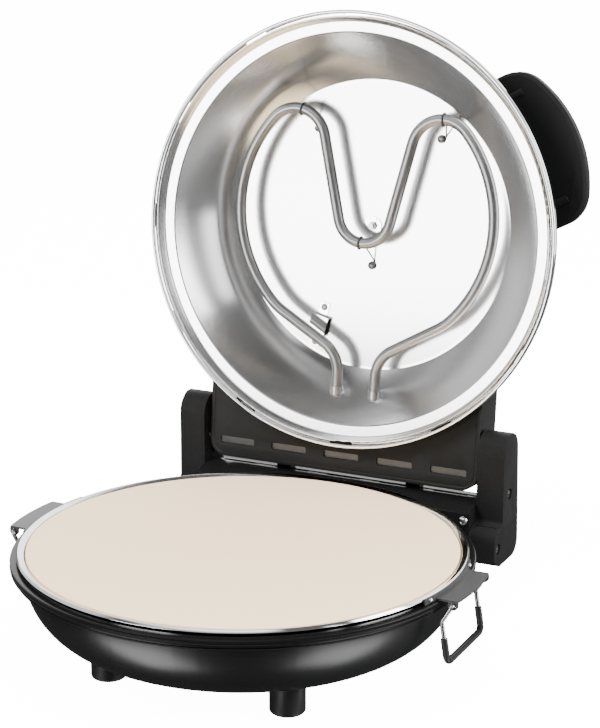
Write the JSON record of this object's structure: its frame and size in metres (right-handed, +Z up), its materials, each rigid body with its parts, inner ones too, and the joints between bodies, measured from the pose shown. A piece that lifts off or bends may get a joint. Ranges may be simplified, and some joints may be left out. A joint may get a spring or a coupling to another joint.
{
  "type": "electric pizza maker",
  "caption": "Countertop electric pizza maker with a round baking stone in a lift-out pan, side bail handles and a deep hinged lid standing open over its heating element.",
  "frame": {"origin": "on the floor under the middle of the whole object's footprint with its lid open", "axes": "+Z up, -Y towards the user, +X to the user's right; the lid's hinge runs along X at the back"},
  "size_m": [0.357, 0.4246, 0.4439],
  "materials": {
    "black_enamel": "gloss",
    "black_gloss_plastic": "gloss",
    "black_matte_plastic": "matte",
    "reflector_metal": "satin",
    "bright_metal": "polished",
    "plain_steel": "satin",
    "element_sheath": "satin",
    "dark_steel": "satin",
    "baking_stone": "matte",
    "ceramic": "matte",
    "rubber": "matte",
    "bail_sleeve": "satin"
  },
  "bodies": {
    "base": {"base_bowl": "black_enamel", "rim_band": "black_enamel", "base_reflector": "reflector_metal", "lower_element": "element_sheath", "lower_element_clips": "plain_steel", "lower_terminal_bushings": "ceramic", "base_thermostat": "black_matte_plastic", "feet": "rubber", "foot_screws": "plain_steel", "rear_housing": "black_gloss_plastic", "rear_housing_cover": "black_gloss_plastic", "terminal_block": "ceramic", "cord_gland": "black_matte_plastic", "housing_screws": "bright_metal", "left_hinge_arm": "black_matte_plastic", "right_hinge_arm": "black_matte_plastic", "left_arm_plate": "black_matte_plastic", "right_arm_plate": "black_matte_plastic", "arm_screws": "dark_steel", "hinge_pins": "plain_steel", "lid_stops": "rubber", "stone_pan": "bright_metal", "baking_stone": "baking_stone", "left_bail_bracket": "dark_steel", "right_bail_bracket": "dark_steel", "bracket_screws": "bright_metal"},
    "lid": {"lid_dome": "black_enamel", "lid_rim_ring": "bright_metal", "lid_reflector": "reflector_metal", "upper_element": "element_sheath", "upper_terminal_bushings": "plain_steel", "upper_element_clips": "plain_steel", "clip_screws": "plain_steel", "center_washer": "bright_metal", "center_nut": "plain_steel", "thermostat_bracket": "bright_metal", "lid_thermostat": "black_matte_plastic", "thermostat_screws": "plain_steel", "lid_hinge_housing": "black_gloss_plastic", "lid_vent_panel": "black_gloss_plastic", "hinge_plate": "plain_steel", "lid_handle": "black_matte_plastic", "handle_posts": "black_matte_plastic", "handle_screws": "plain_steel"},
    "left_bail": {"left_bail": "bright_metal", "left_bail_sleeve": "bail_sleeve"},
    "right_bail": {"right_bail": "bright_metal", "right_bail_sleeve": "bail_sleeve"}
  },
  "joints": [
    {"name": "lid_hinge", "type": "hinge", "parent": "base", "child": "lid", "pos_m": [0, 0.1278, 0.1024], "axis": [1, 0, 0], "range_deg": [0, 96]},
    {"name": "left_bail_hinge", "type": "hinge", "parent": "base", "child": "left_bail", "pos_m": [-0.1727, -0.047, 0.0793], "axis": [0, 1, 0], "range_deg": [0, 160]},
    {"name": "right_bail_hinge", "type": "hinge", "parent": "base", "child": "right_bail", "pos_m": [0.1727, -0.047, 0.0793], "axis": [0, -1, 0], "range_deg": [0, 160]}
  ]
}
